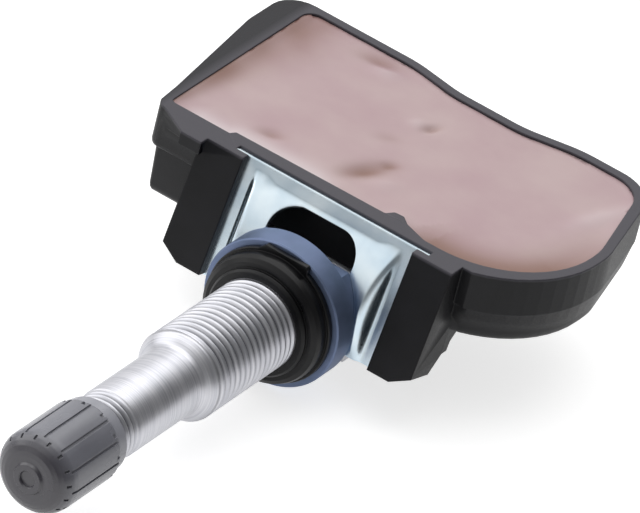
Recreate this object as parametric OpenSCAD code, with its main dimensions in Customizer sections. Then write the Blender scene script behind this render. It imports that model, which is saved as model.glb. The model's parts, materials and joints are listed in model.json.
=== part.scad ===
// Tyre pressure sensor with a clamp-in valve.
// Millimetres. The origin is on the valve axis, where the stem's thread leaves the rubber seal.
// The valve points along -Y, the housing lies along X behind it, and +Z is square to the potting.

/* [Valve stem] */
// Outer diameter of the thread that takes the collar nut
thread_d = 10.3; // [9.6:0.1:11]
// Length of that thread, from the seal to the shoulder
thread_len = 14.1; // [10:0.1:18]
// Length of the coned shoulder between thread and neck
shoulder_len = 2.3; // [1.5:0.1:3]
// Diameter of the turned neck
neck_d = 7.8; // [7:0.1:8.4]
// Length of the neck, from the shoulder to the cap thread
neck_len = 10.8; // [7:0.1:14]
// Outer diameter of the cap thread
tip_d = 7.6; // [7:0.1:7.8]
// Length of the cap thread, to the valve's end
tip_len = 12.3; // [12:0.1:14]
// Diameter of the plain shank that passes the seal, the washer and the slot
shank_d = 9.9; // [9:0.1:10]
// Thickness of the head behind the bracket
head_t = 1.5; // [1.2:0.1:1.8]
// Room between the head's ends and the barrel's slopes
head_room = 0.7; // [0.6:0.1:1.2]
// Diameter of the air passage
bore_d = 3; // [2.5:0.1:3.4]

/* [Valve core] */
// Diameter of the chamber that the core screws into
chamber_d = 5.2; // [4.8:0.1:5.4]
// Depth of that chamber
chamber_len = 8.4; // [8:0.1:9.5]
// Length of the core's threaded plug
plug_len = 4.2; // [3.5:0.1:5]
// Diameter of the core's barrel
barrel_d = 3.6; // [3.3:0.1:3.8]
// Length of the core's barrel
barrel_len = 7.5; // [7:0.1:9]
// Diameter of the core's pin
pin_d = 0.9; // [0.7:0.05:1.1]
// How far the pin can be pushed in
pin_travel = 1.2; // [0.8:0.1:1.5]
// Wire diameter of the core's spring
spring_wire_d = 0.3; // [0.2:0.05:0.35]
// Turns of the core's spring
spring_turns = 6; // [4:1:8]

/* [Seal and washer] */
// Diameter of the seal's collar, which enters the wheel's hole
collar_d = 12.2; // [11.6:0.1:13]
// Length of that collar
collar_len = 0.6; // [0.5:0.1:1]
// Diameter of the seal's body
seal_d = 14.7; // [14:0.1:15.4]
// Length of the seal's body
seal_len = 1.8; // [1.2:0.1:2.4]
// Diameter of the seal's flange
flange_d = 15.4; // [15.2:0.05:16.4]
// Thickness of that flange
flange_len = 0.6; // [0.5:0.05:1]
// Width of the locating tab on the flange
tab_w = 5.6; // [4:0.1:6.4]
// Sideways offset of that tab
tab_off = 0.5; // [0:0.1:0.8]
// Height of the tab's flat above the valve axis
tab_top = 7.9; // [7.8:0.05:8.2]
// Diameter of the washer's ring
ring_d = 16.84; // [16.5:0.02:17.4]
// Thickness of that ring
ring_len = 3.3; // [2.6:0.05:3.35]
// Diameter of the washer's saddle behind the ring
saddle_d = 16; // [15:0.1:16.4]
// Height of the saddle between its flats
saddle_h = 12; // [11.6:0.1:12.4]
// Radial clearance of the seal and the washer on the shank
shank_gap = 0.05; // [0.02:0.01:0.1]

/* [Valve cap] */
// Length of the cap
cap_len = 11.9; // [11.4:0.1:13]
// Thickness of the cap's wall, ribs included
cap_wall = 0.73; // [0.7:0.01:0.9]
// Height of the ribs
cap_rib = 0.2; // [0.15:0.05:0.3]
// Number of ribs
cap_ribs = 12; // [8:1:14]
// Width of the groove between two ribs
cap_groove = 0.3; // [0.2:0.05:0.5]
// Length of the plain lip at the open end
cap_lip = 1.6; // [1:0.1:2]
// Wall thickness of that lip
cap_lip_wall = 0.35; // [0.3:0.05:0.45]
// Number of small nicks round the nose
cap_nicks = 16; // [8:1:20]
// Thickness of the cap's end wall
cap_end = 1.3; // [1:0.1:1.6]
// Thickness of the rubber disc in the cap
cap_seal_t = 0.9; // [0.6:0.1:1.2]
// Radial clearance of the cap on its thread
cap_gap = 0.1; // [0.08:0.01:0.14]
// Radius of the rounded nose
nose_r = 2.2; // [1.5:0.1:2.6]

/* [Bracket] */
// Angle at which the bracket leans back
lean = 15; // [12:0.5:18]
// Distance of the bracket's front from the origin, level with the rim
plate_y = 10.8; // [10.8:0.05:12]
// Length of the bracket along its lean
plate_len = 14.2; // [13.5:0.1:15]
// Width of the bracket, with the ends that sit in the lugs
plate_w = 24.6; // [23.8:0.1:25.2]
// Sheet thickness
plate_t = 0.8; // [0.6:0.05:1]
// Distance of the barrel's crest from the bracket's top edge
crest = 8.3; // [7.9:0.1:8.8]
// Half height of the barrel, from its crest to its top edge
barrel_half = 6.6; // [6.2:0.1:6.9]
// Width of the barrel at its foot
barrel_w = 18.6; // [18.2:0.1:19.2]
// Slope of the barrel's ends, as a width
barrel_slope = 0.9; // [0.6:0.1:1.2]
// Width of the slot for the stem
slot_w = 10.8; // [10.4:0.1:11.2]
// Distance of the slot's top from the bracket's top edge
slot_top = 2; // [1.6:0.1:2.4]
// Corner radius of the slot
slot_r = 3; // [2:0.1:3.6]
// Running clearance on both sides of the barrel
barrel_gap = 0.06; // [0.04:0.01:0.1]

/* [Housing] */
// Height of the rim above the valve axis
rim_z = 10.8; // [10.4:0.1:11.4]
// Distance of the bottom of the deep part below the valve axis
deep_z = 0.6; // [0.4:0.1:1.2]
// Height of the battery end's bottom above the valve axis
shallow_z = 2.1; // [1.8:0.1:2.8]
// Height at which the left end steps in
tier_z = 5.6; // [5.5:0.1:6]
// Width of that step
tier_in = 0.6; // [0.6:0.1:0.9]
// Wall thickness
wall = 1.1; // [0.9:0.05:1.3]
// Floor thickness
floor_t = 1; // [0.9:0.05:1.1]
// Left end of the potted space
left_x = 22.2; // [21.8:0.1:23.2]
// Right end of the potted space
right_x = 24.1; // [23.8:0.1:25.2]
// Back of the potted space
back_y = 39.6; // [38.9:0.1:41]
// Front of the potted space at the rim
front_y = 13.4; // [13:0.1:13.8]
// Radius of the battery end
end_r = 12; // [11:0.1:12.5]
// Depth of the waist in the back wall
waist = 1.2; // [0.6:0.1:1.6]
// Outer radius of the battery end's front
bulge_r = 14; // [13.8:0.1:14.4]
// How far the lugs stand in front of the bracket
lug_lip = 0.9; // [0.6:0.05:1.1]
// Outer face of the left lug
lug_left = 16.1; // [15.8:0.1:17]
// Outer face of the right lug
lug_right = 15.9; // [15.6:0.1:16.2]
// Half distance between the lugs
lug_gap = 10.84; // [10.6:0.02:11]
// Corner chamfer at the foot of each lug
lug_chamfer = 2.3; // [1.8:0.1:2.8]
// Height of the bare pad on the left of the rim
pad_h = 1.6; // [1.2:0.1:2]
// Distance from the rim down to the pocket for the stem's head
roof_t = 1.5; // [1.2:0.1:1.7]
// Depth of that pocket behind the bracket's front
pocket_d = 4.2; // [4.1:0.05:4.4]

/* [Inside] */
// Depth of the potting below the rim
potting_in = 0.45; // [0.3:0.05:0.6]
// Diameter of the button cell
cell_d = 20; // [18:0.5:21]
// Thickness of the button cell
cell_t = 4.1; // [3.5:0.1:4.2]
// Thickness of the circuit board
board_t = 0.8; // [0.6:0.1:1]
// Height of the board's underside
board_z = 4; // [3.95:0.05:4.1]
// Length of the sensor chip
chip_l = 9.9; // [9:0.1:11]
// Width of the sensor chip
chip_w = 7.5; // [7:0.1:8]
// Height of the sensor chip
chip_t = 2.6; // [2.3:0.05:2.8]
// Diameter of the pressure port
port_d = 1.6; // [1.2:0.1:2]
// Thickness of the battery tabs
tab_t = 0.2; // [0.15:0.05:0.3]
// Width of the battery tabs
tab_size = 3.6; // [3:0.1:4.4]
// Length of the ferrite core
ferrite_l = 7.6; // [6.5:0.1:8.5]
// Width and height of the core's end blocks
ferrite_w = 2.6; // [2.4:0.1:2.8]
// Thickness of the end blocks and of the bar between them
ferrite_t = 1.2; // [1:0.1:1.4]
// Width and height of the winding
winding_w = 2.2; // [1.8:0.1:2.4]
// Height of the aerial strip
aerial_h = 3.2; // [2.5:0.1:3.8]
// Thickness of the aerial strip
aerial_t = 0.4; // [0.3:0.05:0.6]
// Distance of the aerial strip from the board's edges
aerial_in = 0.6; // [0.5:0.1:1]
// Distance of the strip's foot from the board's front edge
aerial_foot = 4; // [3:0.5:6]
// Length, width and height of the crystal's can
crystal_l = 3.2; // [2.5:0.1:3.6]
crystal_w = 2.5; // [2:0.1:2.8]
crystal_h = 0.8; // [0.6:0.1:1]
// Length, width and height of a capacitor
capacitor_l = 2; // [1.6:0.1:2.2]
capacitor_w = 1.3; // [0.8:0.1:1.4]
capacitor_h = 1.2; // [0.6:0.1:1.3]
// Length, width and height of a resistor
resistor_l = 1.6; // [1:0.1:1.8]
resistor_w = 0.8; // [0.5:0.1:1]
resistor_h = 0.45; // [0.3:0.05:0.6]

/* [Hidden] */
$fn = 96;
eps = 0.01;

// The seal's faces, along the valve axis
flange_y = collar_len + seal_len;
seal_end = flange_y + flange_len;
ring_end = seal_end + ring_len;

// The barrel of the bracket, and the axis that the housing swivels on
crest_z = rim_z - crest * cos(lean);
crest_y = plate_y - crest * sin(lean);
depth = crest_z / sin(lean);
pivot_y = crest_y + depth * cos(lean);
barrel_r = sqrt(depth * depth + barrel_half * barrel_half);
saddle_r = barrel_r + barrel_gap;
head_r = barrel_r - plate_t - barrel_gap;
head_w = barrel_w - 2 * (barrel_slope + plate_t + head_room);

// The stem, from its shoulder to its tip
shoulder_y = -thread_len - shoulder_len;
tip_y = shoulder_y - neck_len;
end_y = tip_y - tip_len;

// The valve core, from the stem's end inwards
plug_y = end_y + 0.6;
barrel_y = plug_y + plug_len;
barrel_end = barrel_y + barrel_len;
seat_y = end_y + chamber_len;
seat_len = 1.4;
narrow_d = barrel_d + 0.4;
narrow_len = barrel_end - seat_y - seat_len + 1.6 + pin_travel;
pin_hole_d = pin_d + 0.2;
spring_d = barrel_d - 1.5;
spring_y = barrel_y + 0.8;
spring_len = barrel_len - 1.8;
cup_len = 1.1;

// The cap, from its closed end outwards
cap_y = end_y - cap_seal_t - cap_end;
cap_bore_r = tip_d / 2 + cap_gap;
cap_d = 2 * (cap_bore_r + cap_wall);

// Heights inside the housing
deep_floor = -deep_z + floor_t;
shallow_floor = shallow_z + floor_t;
potting_z = rim_z - potting_in;
board_top = board_z + board_t;
cell_z = board_top + tab_t;
cell_top = cell_z + cell_t;
step_x = 2;

// Places of the pieces on the board
board_x0 = -left_x + 2;
board_x1 = 1;
board_y0 = 18.4;
board_y1 = back_y - 2.2;
chip = [-10, 25.5];
tab_x = board_x1 - 4;
cell_x = right_x - cell_d / 2 - 1.9;
cell_y = front_y + cell_d / 2 + 2.9;
ferrite = [-13, 33.2];
crystal_at = [-3.4, 33];
capacitor_places = [[-16.6, 20.6], [-13.6, 20.6], [-4.2, 21], [-16.8, 25.4]];
resistor_places = [[-10.4, 20.6], [-7.6, 20.6], [-3.6, 29.6], [-16.8, 28.6], [-6.6, 29.6]];

// Tangent arc at corner b of the path a-b-c, with n steps
function corner(a, b, c, r, n = 8) =
    let (u = (a - b) / norm(a - b), v = (c - b) / norm(c - b), half = acos(u * v) / 2,
         m = b + (u + v) / norm(u + v) * r / sin(half), s = b + u * r / tan(half) - m,
         e = b + v * r / tan(half) - m, a0 = atan2(s[1], s[0]),
         turn = ((atan2(e[1], e[0]) - a0 + 540) % 360) - 180)
    [for (i = [0:n]) m + r * [cos(a0 + turn * i / n), sin(a0 + turn * i / n)]];

// Polygon with a radius at each of its points [x, y, r]
function rounded(p) =
    [for (i = [0:len(p) - 1])
        let (a = p[(i + len(p) - 1) % len(p)], b = p[i], c = p[(i + 1) % len(p)],
             n = b[2] > 5 ? 14 : 6)
        for (q = b[2] > 0 ? corner([a[0], a[1]], [b[0], b[1]], [c[0], c[1]], b[2], n)
                          : [[b[0], b[1]]]) q];

// Puts a child into the bracket's own frame: y from its front face, z up from its top edge
module leaned() {
    translate([0, plate_y, rim_z]) rotate([-lean, 0, 0]) children();
}

// Turns a profile of [radius, y] about the valve axis
module turned(profile) {
    rotate([-90, 0, 0]) rotate_extrude() polygon([for (p = profile) [p[0], p[1]]]);
}

// Round bar or hole along the valve axis
module along_y(d, y0, y1, x = 0, z = 0) {
    translate([x, y0, z]) rotate([-90, 0, 0]) cylinder(d = d, h = y1 - y0);
}

// Roller along X about the swivel axis
module roller(r, w) {
    translate([-w / 2, pivot_y, 0]) rotate([0, 90, 0]) cylinder(r = r, h = w);
}

// The stem: cap thread, neck, shoulder, nut thread and shank in one turned piece, and the head
// that bears on the hollow side of the bracket's barrel
module valve_stem() {
    neck_r = neck_d / 2;
    flare = thread_d / 2 - neck_r;
    color("lightgray") difference() {
        union() {
            turned([[0, end_y], [tip_d / 2 - 0.5, end_y], [tip_d / 2, end_y + 0.6],
                    [tip_d / 2, tip_y], [neck_r, tip_y + 0.3], [neck_r, shoulder_y],
                    for (a = [15:15:75]) [neck_r + flare * 0.6 * (1 - cos(a)),
                                          shoulder_y + shoulder_len * 0.6 * sin(a)],
                    [thread_d / 2 - 0.45, -thread_len - 0.6], [thread_d / 2, -thread_len],
                    [thread_d / 2, 0], [shank_d / 2, 0], [shank_d / 2, pivot_y - head_r],
                    [0, pivot_y - head_r]]);
            intersection() {
                difference() {
                    roller(head_r, head_w);
                    roller(head_r - head_t, head_w + 2);
                }
                along_head();
            }
            intersection() {
                difference() {
                    along_y(shank_d, pivot_y - head_r - 1, pivot_y);
                    roller(head_r - head_t, head_w + 2);
                }
                along_head();
            }
        }
        along_y(bore_d, end_y - 1, pivot_y);
        along_y(narrow_d, seat_y + seat_len - eps, seat_y + seat_len + narrow_len);
        turned([[0, seat_y - eps], [chamber_d / 2, seat_y - eps], [chamber_d / 2, seat_y],
                [narrow_d / 2, seat_y + seat_len], [0, seat_y + seat_len]]);
        along_y(chamber_d, end_y - 1, seat_y);
    }
}

// Room that the head may take: as tall as the shank, in front of the swivel axis
module along_head() {
    translate([-head_w, pivot_y - barrel_r, -shank_d / 2]) cube([2 * head_w, barrel_r, shank_d]);
}

// Threaded plug of the valve core, with the two flats that the core key turns
module core_plug() {
    color("goldenrod") difference() {
        along_y(chamber_d - 0.1, plug_y, barrel_y);
        along_y(pin_hole_d + 0.9, plug_y - 1, barrel_y - 1.2);
        along_y(pin_hole_d, plug_y, barrel_y + 1);
        for (s = [-1, 1])
            translate([s * chamber_d * 0.42, plug_y + 0.5, 0])
                cube([chamber_d * 0.3, 2.4, chamber_d * 1.2], center = true);
    }
}

// Barrel of the core, open at its inner end, which the spring sits in
module core_barrel() {
    color("goldenrod") difference() {
        along_y(barrel_d, barrel_y, barrel_end);
        along_y(pin_hole_d, barrel_y - 1, barrel_end + 1);
        along_y(spring_d + 0.6, spring_y, spring_y + spring_len);
    }
}

// Sealing cone round the barrel, pressed on the seat in the stem
module core_seal() {
    slope = (chamber_d - narrow_d) / 2 / seat_len;
    inner = barrel_d / 2;
    color("white") turned([[inner, seat_y + 0.1], [inner, seat_y + seat_len - 0.1],
                           [narrow_d / 2 + slope * 0.1, seat_y + seat_len - 0.1],
                           [chamber_d / 2 - slope * 0.1, seat_y + 0.1]]);
}

// Pin, with the collar that the spring pushes on
module core_pin() {
    color("goldenrod") union() {
        along_y(pin_d, end_y + 0.3, barrel_end + cup_len + 0.3);
        along_y(spring_d + 0.4, spring_y + 0.02, spring_y + 0.42);
    }
}

// Rubber cup at the pin's inner end, which closes the barrel
module pin_cup() {
    color("dimgray") difference() {
        along_y(barrel_d - 0.4, barrel_end + 0.02, barrel_end + cup_len);
        along_y(pin_d, barrel_end - 1, barrel_end + cup_len + 1);
    }
}

// Coil spring round the pin, swept along its helix
module core_spring() {
    sides = 8;
    steps = 14 * spring_turns;
    y0 = spring_y + 0.42 + spring_wire_d / 2 + 0.03;
    y1 = spring_y + spring_len - spring_wire_d / 2 - 0.03;
    r = spring_d / 2 - spring_wire_d / 2 + 0.1;
    function ring(k) = let (a = 360 * spring_turns * k / steps)
        [for (i = [0:sides - 1]) let (b = 360 * i / sides, q = r + spring_wire_d / 2 * cos(b))
            [q * cos(a), y0 + (y1 - y0) * k / steps + spring_wire_d / 2 * sin(b), q * sin(a)]];
    points = [for (k = [0:steps]) for (p = ring(k)) p];
    skin = [for (k = [0:steps - 1]) for (i = [0:sides - 1]) let (j = (i + 1) % sides)
        [k * sides + i, k * sides + j, (k + 1) * sides + j, (k + 1) * sides + i]];
    ends = [[for (i = [sides - 1:-1:0]) i], [for (i = [0:sides - 1]) steps * sides + i]];
    color("silver") polyhedron(points, concat(skin, ends));
}

// Moulded rubber seal: collar, body and flange, with its locating tab on top
module seal() {
    inner = shank_d / 2 + shank_gap;
    body_r = seal_d / 2;
    color([0.12, 0.12, 0.13]) difference() {
        union() {
            turned([[inner, 0], [collar_d / 2 - 0.25, 0], [collar_d / 2, 0.25],
                    [collar_d / 2, collar_len], [body_r - 0.7, collar_len],
                    [body_r - 0.2, collar_len + 0.35], [body_r, collar_len + 0.9],
                    [body_r, flange_y], [flange_d / 2 - 0.1, flange_y],
                    [flange_d / 2, flange_y + 0.1], [flange_d / 2, seal_end], [inner, seal_end]]);
            translate([tab_off, seal_end, 0]) rotate([90, 0, 0]) linear_extrude(flange_len)
                polygon([[-tab_w / 2 - 0.6, collar_d / 2], [-tab_w / 2 - 0.6, tab_top - 0.8],
                         [-tab_w / 2 + 0.2, tab_top], [tab_w / 2 - 0.2, tab_top],
                         [tab_w / 2, tab_top - 0.3], [tab_w / 2, collar_d / 2]]);
        }
        along_y(2 * inner, -1, seal_end + 1);
    }
}

// Washer: a flat ring towards the seal and a hollow saddle that rides on the bracket's barrel
module dome_washer() {
    color("lightsteelblue") difference() {
        union() {
            turned([[0, seal_end], [ring_d / 2 - 0.15, seal_end], [ring_d / 2, seal_end + 0.15],
                    [ring_d / 2, ring_end - 0.3], [ring_d / 2 - 0.3, ring_end], [0, ring_end]]);
            intersection() {
                along_y(saddle_d, ring_end - 1, pivot_y - saddle_r * 0.7);
                translate([-ring_d, 0, -saddle_h / 2]) cube([2 * ring_d, pivot_y, saddle_h]);
            }
        }
        roller(saddle_r, 3 * ring_d);
        along_y(shank_d + 2 * shank_gap, -1, pivot_y);
    }
}

// Valve cap: ribbed round its side, with a nicked nose, a ring moulded on its end and a plain lip
module valve_cap() {
    body_r = cap_d / 2 - cap_rib;
    lip_r = cap_bore_r + cap_lip_wall;
    open_y = cap_y + cap_len;
    rib_end = open_y - cap_lip;
    nose = [for (a = [15:15:90]) [nose_r * (sin(a) - 1), cap_y + 0.3 + nose_r * (1 - cos(a))]];
    color("gray") difference() {
        union() {
            turned([[0, cap_y + 0.8], [0.7, cap_y + 0.8], [0.9, cap_y + 0.1],
                    [1, cap_y], [1.6, cap_y], [1.8, cap_y + 0.3], [body_r - nose_r, cap_y + 0.3],
                    for (p = nose) [body_r + p[0], p[1]], [body_r, rib_end - 0.2],
                    [lip_r, rib_end], [lip_r, open_y - 0.15], [lip_r - 0.12, open_y],
                    [0, open_y]]);
            difference() {
                turned([[0, cap_y + 0.3], [cap_d / 2 - nose_r, cap_y + 0.3],
                        for (p = nose) [cap_d / 2 + p[0], p[1]], [cap_d / 2, rib_end - 0.3],
                        [cap_d / 2 - 0.2, rib_end], [0, rib_end]]);
                for (k = [0:cap_ribs - 1]) rotate([0, 360 * k / cap_ribs, 0])
                    translate([-cap_groove / 2, cap_y + nose_r * 0.8, 0])
                        cube([cap_groove, cap_len, cap_d]);
            }
        }
        along_y(2 * cap_bore_r, cap_y + cap_end, open_y + 1);
        turned([[0, open_y - 0.4], [cap_bore_r, open_y - 0.4], [cap_bore_r + 0.12, open_y + 0.01],
                [0, open_y + 0.01]]);
        for (k = [0:cap_ribs - 1]) rotate([0, 360 * (k - 0.3) / cap_ribs, 0])
            translate([-0.22, rib_end - 0.8, lip_r]) cube([0.44, 0.9, cap_d]);
        for (k = [0:cap_nicks - 1]) rotate([0, 360 * (k + 0.5) / cap_nicks, 0])
            translate([0, cap_y + 0.3 + nose_r * (1 - cos(58)), cap_d / 2 - nose_r * (1 - sin(58))])
                rotate([32, 0, 0]) translate([-0.13, -0.25, -0.25]) cube([0.26, 0.55, 1]);
    }
}

// Rubber disc inside the cap, which closes the valve's end
module cap_disc() {
    color("black") difference() {
        along_y(2 * cap_bore_r - 0.06, cap_y + cap_end, end_y);
        along_y(2.4, cap_y + cap_end + 0.4, end_y + 1);
    }
}

// Roller along X with coned ends, for one side of the pressed barrel
module pressed_barrel(r, w) {
    foot = depth / barrel_r * r;
    translate([0, depth, -crest]) rotate([0, 90, 0]) {
        cylinder(r = r, h = w - 2 * barrel_slope, center = true);
        for (s = [0, 1])
            mirror([0, 0, s]) translate([0, 0, w / 2 - barrel_slope])
                cylinder(r1 = r, r2 = foot, h = barrel_slope);
    }
}

// Pressed steel bracket: a flat frame with a barrel standing out of it, and the slot that lets
// the housing swivel about the valve
module bracket() {
    color("lightblue") leaned() difference() {
        union() {
            translate([-plate_w / 2, 0, -plate_len]) cube([plate_w, plate_t, plate_len]);
            intersection() {
                pressed_barrel(barrel_r, barrel_w);
                translate([-plate_w, -depth, -plate_len])
                    cube([2 * plate_w, depth + plate_t, plate_len]);
            }
        }
        pressed_barrel(barrel_r - plate_t, barrel_w - 1.6 * plate_t);
        translate([0, plate_t + 2, -slot_top]) rotate([90, 0, 0]) linear_extrude(depth)
            stem_slot();
    }
}

// Outline of the slot, hung from its top edge and open at the bottom
module stem_slot() {
    polygon(rounded([[-slot_w / 2, 0, slot_r], [-slot_w / 2, -plate_len - 5, 0],
                     [slot_w / 2, -plate_len - 5, 0], [slot_w / 2, 0, slot_r]]));
}

// Outline of the potted space at the rim
module space_outline() {
    polygon(rounded([
        [-left_x + 0.1, front_y - 0.8, 0.6], [-14.5, front_y - 0.8, 0.2],
        [-14.1, front_y - 0.1, 0.2], [4.9, front_y + 0.2, 0.4], [5.5, front_y + 1.2, 0.4],
        [6.6, front_y + 1.3, 0.4], [7.6, front_y + 0.4, 0.6], [10.4, front_y - 0.65, 2],
        [right_x, front_y - 0.65, end_r], [right_x, front_y + end_r + 1, 9],
        [right_x - 3.3, back_y + 0.3, 4.2], [12.5, back_y + 0.3, 14],
        [6, back_y - waist, 14], [-2.6, back_y - waist, 14], [-8.6, back_y, 14],
        [-left_x, back_y, 1.6]]));
}

// Outline of the rim outside the wall, grown or shrunk by d
module rim_outline(d = 0) {
    side = left_x + wall;
    round_x = right_x + wall - bulge_r;
    round_y = plate_y + bulge_r - 0.2;
    offset(delta = d) polygon(rounded(concat(
        // front, with a neck set back between the right lug and the battery end
        [[-side + 0.4, plate_y + 0.2, 1.3], [lug_right - 2, plate_y + 0.2, 0],
         [lug_right - 0.5, plate_y + 1.1, 0]],
        // round front of the battery end
        [for (a = [-65:6.5:0]) [round_x + bulge_r * cos(a), round_y + bulge_r * sin(a), 0]],
        // back, and the left side that leans out
        [[right_x + wall, round_y + 2, 10], [right_x + wall - 3.3, back_y + wall + 0.3, 5.3],
         [12.5, back_y + wall + 0.3, 14], [6, back_y + wall - waist, 14],
         [-2.6, back_y + wall - waist, 14], [-8.6, back_y + wall, 14],
         [-side - 2.3, back_y + wall, 3.4], [-side - 2.3, back_y - 7, 9], [-side, front_y + 2, 0]])));
}

// Part of the rim's outline on one side of the step in the floor
module half_outline(s, d) {
    intersection() {
        rim_outline(d);
        if (s > 0) translate([step_x, plate_y + 1.35]) square(2 * back_y);
        else translate([-2 * left_x, 0]) square([2 * left_x + step_x + 2, 2 * back_y]);
    }
}

// Lower part of one half: drafted walls and a rounded bottom edge
module bowl(s, z0, z1, r, d, draft) {
    hull() {
        translate([0, 0, z1 - 0.1]) linear_extrude(0.1) half_outline(s, d - 0.04);
        for (a = [0:22.5:90])
            translate([0, 0, z0 + r * (1 - sin(a))]) linear_extrude(0.05)
                half_outline(s, d - draft - r * (1 - cos(a)));
    }
}

// Side outline of a lug: leaning front, and a slope from the foot back up to the floor
module lug_side() {
    front = lug_lip / cos(lean);
    foot = rim_z - plate_len * cos(lean);
    polygon(rounded([
        [plate_y - front, rim_z, 0], [front_y + 1, rim_z, 0], [front_y + 2.8, shallow_z + 1.5, 0],
        [front_y + 2, shallow_z + 0.05, 0], [plate_y - 0.8, foot + 0.3, 1.4],
        [plate_y - 1.6, foot - 1, 0], [plate_y - front - (rim_z - foot + 1) * tan(lean), foot - 1, 0]]));
}

// Pair of lugs with the frame between them, before the pocket is cut
module front_block() {
    intersection() {
        translate([-lug_left, 0, 0]) rotate([90, 0, 90]) linear_extrude(lug_left + lug_right)
            lug_side();
        leaned() translate([0, front_y, 0]) rotate([90, 0, 0]) linear_extrude(2 * front_y)
            polygon([[-lug_left, lug_chamfer], [-lug_left, lug_chamfer * 0.6 - plate_len],
                     [-lug_left + lug_chamfer, -plate_len], [lug_right - lug_chamfer, -plate_len],
                     [lug_right, lug_chamfer * 0.6 - plate_len], [lug_right, lug_chamfer]]);
    }
    // slanted corner of the rim on the left
    hull() {
        translate([0, 0, rim_z - 0.9]) linear_extrude(0.9) polygon([
            [-left_x - wall + 0.5, front_y + 0.6], [-left_x - wall + 0.5, plate_y + 0.8],
            [-lug_left - 2.1, plate_y - 2], [-lug_left + 0.4, plate_y - 2],
            [-lug_left + 0.4, front_y + 0.6]]);
        translate([0, 0, rim_z - 2.4]) linear_extrude(0.1) polygon([
            [-left_x - wall + 2, plate_y + 0.4], [-lug_left + 0.4, plate_y + 0.4],
            [-lug_left + 0.4, front_y + 0.6], [-left_x - wall + 2, front_y + 0.6]]);
    }
    // bare pad on the left of the rim
    translate([-lug_left - 2.05, plate_y - 2.15, rim_z - pad_h])
        cube([2.7, front_y - plate_y, pad_h]);
}

// Space behind the bracket: the pocket that the stem's head swings in, open below
module head_pocket() {
    leaned() translate([-lug_gap, -plate_y, -plate_len - 6])
        cube([2 * lug_gap, plate_y + pocket_d, plate_len + 6 - roof_t]);
    leaned() translate([-lug_gap, -plate_y, -plate_len - 6])
        cube([2 * lug_gap, plate_y, plate_len + 10]);
    leaned() translate([-plate_w / 2 - 0.05, 0, -plate_len - 6])
        cube([plate_w + 0.1, plate_t, plate_len + 10]);
}

// Material that keeps the pocket apart from the potted space
module pocket_wall() {
    leaned() translate([-lug_right, 0, -plate_len - 8])
        cube([2 * lug_right, pocket_d + wall, plate_len + 8]);
}

// Potted space: the upper part, the deep part on the left and the shallow battery end
module potted_space(top) {
    difference() {
        union() {
            translate([0, 0, tier_z]) linear_extrude(top - tier_z) space_outline();
            translate([0, 0, deep_floor]) linear_extrude(tier_z - deep_floor + eps)
                intersection() {
                    offset(delta = -tier_in) space_outline();
                    translate([-2 * left_x, 0]) square([2 * left_x + step_x, 2 * back_y]);
                }
            translate([0, 0, shallow_floor]) linear_extrude(tier_z - shallow_floor + eps)
                intersection() {
                    offset(delta = -tier_in) space_outline();
                    translate([0, 0]) square([2 * right_x, 2 * back_y]);
                }
        }
        pocket_wall();
    }
}

// Moulded housing, open at the top and filled with potting
module housing() {
    color([0.14, 0.14, 0.15]) difference() {
        union() {
            translate([0, 0, tier_z + 0.6]) linear_extrude(rim_z - tier_z - 0.6) rim_outline();
            bowl(-1, tier_z, tier_z + 0.7, 0.4, 0, 0.05);
            bowl(-1, -deep_z, tier_z + 0.1, 1.2, -tier_in, 0.3);
            bowl(1, shallow_z, tier_z + 0.7, 1.5, 0, 0.5);
            front_block();
            intersection() {
                pocket_wall();
                translate([-lug_right, 0, -deep_z]) cube([2 * lug_right, 2 * front_y, rim_z]);
            }
        }
        potted_space(rim_z + 1);
        head_pocket();
        translate([chip[0], chip[1], -deep_z - 1]) cylinder(d = port_d, h = floor_t + 2);
    }
}

// Shallow dents where the potting shrank: [x, y, radius, depth]
dents = [[-2.5, 18.6, 3.4, 0.45], [-14.6, 19.2, 2.2, 0.25], [1.6, 26.4, 1.8, 0.25],
         [-9.2, 24.8, 2.2, 0.15], [-2, 34.8, 2.4, 0.2]];

// Potting compound, cast round everything on the board and the cell
module potting() {
    color("rosybrown") difference() {
        potted_space(potting_z);
        for (d = dents) {
            r = (d[2] * d[2] + d[3] * d[3]) / (2 * d[3]);
            translate([d[0], d[1], potting_z + r - d[3]]) sphere(r = r);
        }
        board_blank();
        cell_blank();
        tab_top_blank();
        tab_bottom_blank();
        chip_blank();
        port_seal_blank();
        ferrite_blank();
        winding_blank();
        aerial_blank();
        crystal_blank();
        capacitor_blanks();
        resistor_blanks();
    }
}

// Circuit board, with its corners rounded
module board_blank() {
    translate([0, 0, board_z]) linear_extrude(board_t) polygon(rounded([
        [board_x0, board_y0, 1], [board_x1, board_y0, 1], [board_x1, board_y1, 1],
        [board_x0, board_y1, 1]]));
}

module circuit_board() {
    color("darkgreen") board_blank();
}

// Button cell: can, and the smaller cover on top of it
module cell_blank() {
    translate([cell_x, cell_y, 0]) {
        translate([0, 0, cell_z]) cylinder(d = cell_d, h = cell_t - 0.5);
        translate([0, 0, cell_z]) cylinder(d = cell_d - 2, h = cell_t);
    }
}

module button_cell() {
    color("silver") cell_blank();
}

// Strip welded on the cell's cover and bent down to the board
module tab_top_blank() {
    translate([tab_x, cell_y - tab_size / 2, cell_top])
        cube([cell_x + tab_size / 2 - tab_x, tab_size, tab_t]);
    translate([tab_x, cell_y - tab_size / 2, board_top])
        cube([tab_t, tab_size, cell_top - board_top + tab_t]);
}

module cell_tab_top() {
    color("gainsboro") tab_top_blank();
}

// Strip welded under the cell's can, flat on the board
module tab_bottom_blank() {
    translate([board_x1 - tab_size / 2, cell_y - 2 * tab_size, board_top])
        cube([cell_x - board_x1 + tab_size / 2, tab_size, tab_t]);
}

module cell_tab_bottom() {
    color("gainsboro") tab_bottom_blank();
}

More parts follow.
